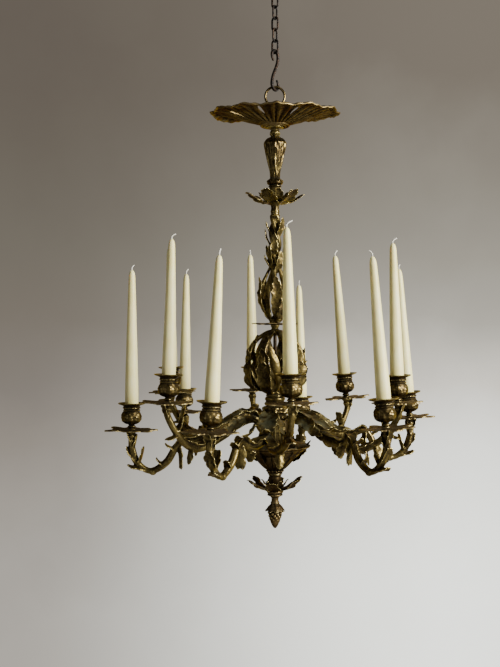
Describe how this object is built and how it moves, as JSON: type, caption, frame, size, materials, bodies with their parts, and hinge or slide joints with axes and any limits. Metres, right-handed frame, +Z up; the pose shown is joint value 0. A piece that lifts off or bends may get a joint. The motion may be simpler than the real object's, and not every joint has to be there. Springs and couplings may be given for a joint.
{
  "type": "candle chandelier",
  "caption": "Cast brass candle chandelier with forked scroll arms in two tiers, leafy stem on a tie rod, canopy dish, ring, hook and chain.",
  "frame": {"origin": "the hanging point, where the ceiling hook bears on the inner top of the highest chain link", "axes": "+Z up along the stem; +X to the right across the front; the hanging ring lies in the XZ plane, and the highest link's plane is turned 35 degrees from it about +Z"},
  "size_m": [0.5531, 0.5468, 0.8986],
  "materials": {
    "chain_iron": "blackened wrought iron, dull",
    "rod_iron": "browned iron",
    "ring_brass": "worn brass",
    "dish_brass": "dark patinated cast brass",
    "stem_brass": "aged gilt brass, dark in the recesses",
    "bowl_brass": "reddish brown patinated brass",
    "arm_brass": "aged brass with green verdigris on upper faces",
    "pan_brass": "dark patinated brass",
    "cup_brass": "dark patinated brass, bright on the high points",
    "candle_wax": "satin ivory wax"
  },
  "bodies": {
    "chain_link_1": {"chain_link_1": "chain_iron"},
    "chain_link_2": {"chain_link_2": "chain_iron"},
    "chain_link_3": {"chain_link_3": "chain_iron"},
    "lower_chain": {"chain_link_4": "chain_iron", "chain_link_5": "chain_iron", "suspension_hook": "chain_iron"},
    "ring": {"suspension_ring": "ring_brass"},
    "chandelier": {"tie_rod": "rod_iron", "canopy_dish": "dish_brass", "top_knop": "stem_brass", "upper_leaf_calyx": "stem_brass", "vine_stem": "stem_brass", "leaf_disc": "stem_brass", "scroll_crown": "stem_brass", "hub": "stem_brass", "hub_bowl": "bowl_brass", "lower_leaf_calyx": "stem_brass", "berry_finial": "stem_brass", "arm_1": "arm_brass", "arm_2": "arm_brass", "arm_3": "arm_brass", "arm_4": "arm_brass", "arm_5": "arm_brass", "arm_6": "arm_brass", "drip_pan_1": "pan_brass", "drip_pan_2": "pan_brass", "drip_pan_3": "pan_brass", "drip_pan_4": "pan_brass", "drip_pan_5": "pan_brass", "drip_pan_6": "pan_brass", "drip_pan_7": "pan_brass", "drip_pan_8": "pan_brass", "drip_pan_9": "pan_brass", "drip_pan_10": "pan_brass", "drip_pan_11": "pan_brass", "drip_pan_12": "pan_brass", "candle_cup_1": "cup_brass", "candle_cup_2": "cup_brass", "candle_cup_3": "cup_brass", "candle_cup_4": "cup_brass", "candle_cup_5": "cup_brass", "candle_cup_6": "cup_brass", "candle_cup_7": "cup_brass", "candle_cup_8": "cup_brass", "candle_cup_9": "cup_brass", "candle_cup_10": "cup_brass", "candle_cup_11": "cup_brass", "candle_cup_12": "cup_brass"},
    "candle_1": {"candle_1": "candle_wax"},
    "candle_2": {"candle_2": "candle_wax"},
    "candle_3": {"candle_3": "candle_wax"},
    "candle_4": {"candle_4": "candle_wax"},
    "candle_5": {"candle_5": "candle_wax"},
    "candle_6": {"candle_6": "candle_wax"},
    "candle_7": {"candle_7": "candle_wax"},
    "candle_8": {"candle_8": "candle_wax"},
    "candle_9": {"candle_9": "candle_wax"},
    "candle_10": {"candle_10": "candle_wax"},
    "candle_11": {"candle_11": "candle_wax"},
    "candle_12": {"candle_12": "candle_wax"}
  },
  "joints": [
    {"name": "chain_swing_front_back", "type": "hinge", "parent": "chain_link_1", "child": "chain_link_2", "pos_m": [0, 0, -0.0211], "axis": [0.8192, -0.5736, 0], "range_deg": [-10, 10]},
    {"name": "chain_swing_left_right", "type": "hinge", "parent": "chain_link_2", "child": "chain_link_3", "pos_m": [0, 0, -0.0402], "axis": [0.5736, 0.8192, 0], "range_deg": [-10, 10]},
    {"name": "chain_twist", "type": "hinge", "parent": "chain_link_3", "child": "lower_chain", "pos_m": [0, 0, -0.0593], "axis": [0, 0, 1], "range_deg": [-12, 12]},
    {"name": "ring_swing", "type": "hinge", "parent": "lower_chain", "child": "ring", "pos_m": [0, 0, -0.1591], "axis": [0, 1, 0], "range_deg": [-8, 8]},
    {"name": "chandelier_swing", "type": "hinge", "parent": "ring", "child": "chandelier", "pos_m": [0, 0, -0.18625], "axis": [1, 0, 0], "range_deg": [-12, 12]},
    {"name": "candle_lift_1", "type": "slide", "parent": "chandelier", "child": "candle_1", "axis": [-0.075, 0, 0.9972], "range_m": [0, 0.035]},
    {"name": "candle_lift_2", "type": "slide", "parent": "chandelier", "child": "candle_2", "axis": [-0.075, 0, 0.9972], "range_m": [0, 0.035]},
    {"name": "candle_lift_3", "type": "slide", "parent": "chandelier", "child": "candle_3", "axis": [-0.0175, 0, 0.9998], "range_m": [0, 0.035]},
    {"name": "candle_lift_4", "type": "slide", "parent": "chandelier", "child": "candle_4", "axis": [-0.0175, 0, 0.9998], "range_m": [0, 0.035]},
    {"name": "candle_lift_5", "type": "slide", "parent": "chandelier", "child": "candle_5", "axis": [0.0157, 0, 0.9999], "range_m": [0, 0.035]},
    {"name": "candle_lift_6", "type": "slide", "parent": "chandelier", "child": "candle_6", "axis": [-0.0157, 0, 0.9999], "range_m": [0, 0.035]},
    {"name": "candle_lift_7", "type": "slide", "parent": "chandelier", "child": "candle_7", "axis": [0, 0, 1], "range_m": [0, 0.035]},
    {"name": "candle_lift_8", "type": "slide", "parent": "chandelier", "child": "candle_8", "axis": [0.0244, 0, 0.9997], "range_m": [0, 0.035]},
    {"name": "candle_lift_9", "type": "slide", "parent": "chandelier", "child": "candle_9", "axis": [0.0523, 0, 0.9986], "range_m": [0, 0.035]},
    {"name": "candle_lift_10", "type": "slide", "parent": "chandelier", "child": "candle_10", "axis": [-0.0279, 0, 0.9996], "range_m": [0, 0.035]},
    {"name": "candle_lift_11", "type": "slide", "parent": "chandelier", "child": "candle_11", "axis": [-0.0819, 0, 0.9966], "range_m": [0, 0.035]},
    {"name": "candle_lift_12", "type": "slide", "parent": "chandelier", "child": "candle_12", "axis": [-0.0332, 0, 0.9995], "range_m": [0, 0.035]}
  ]
}
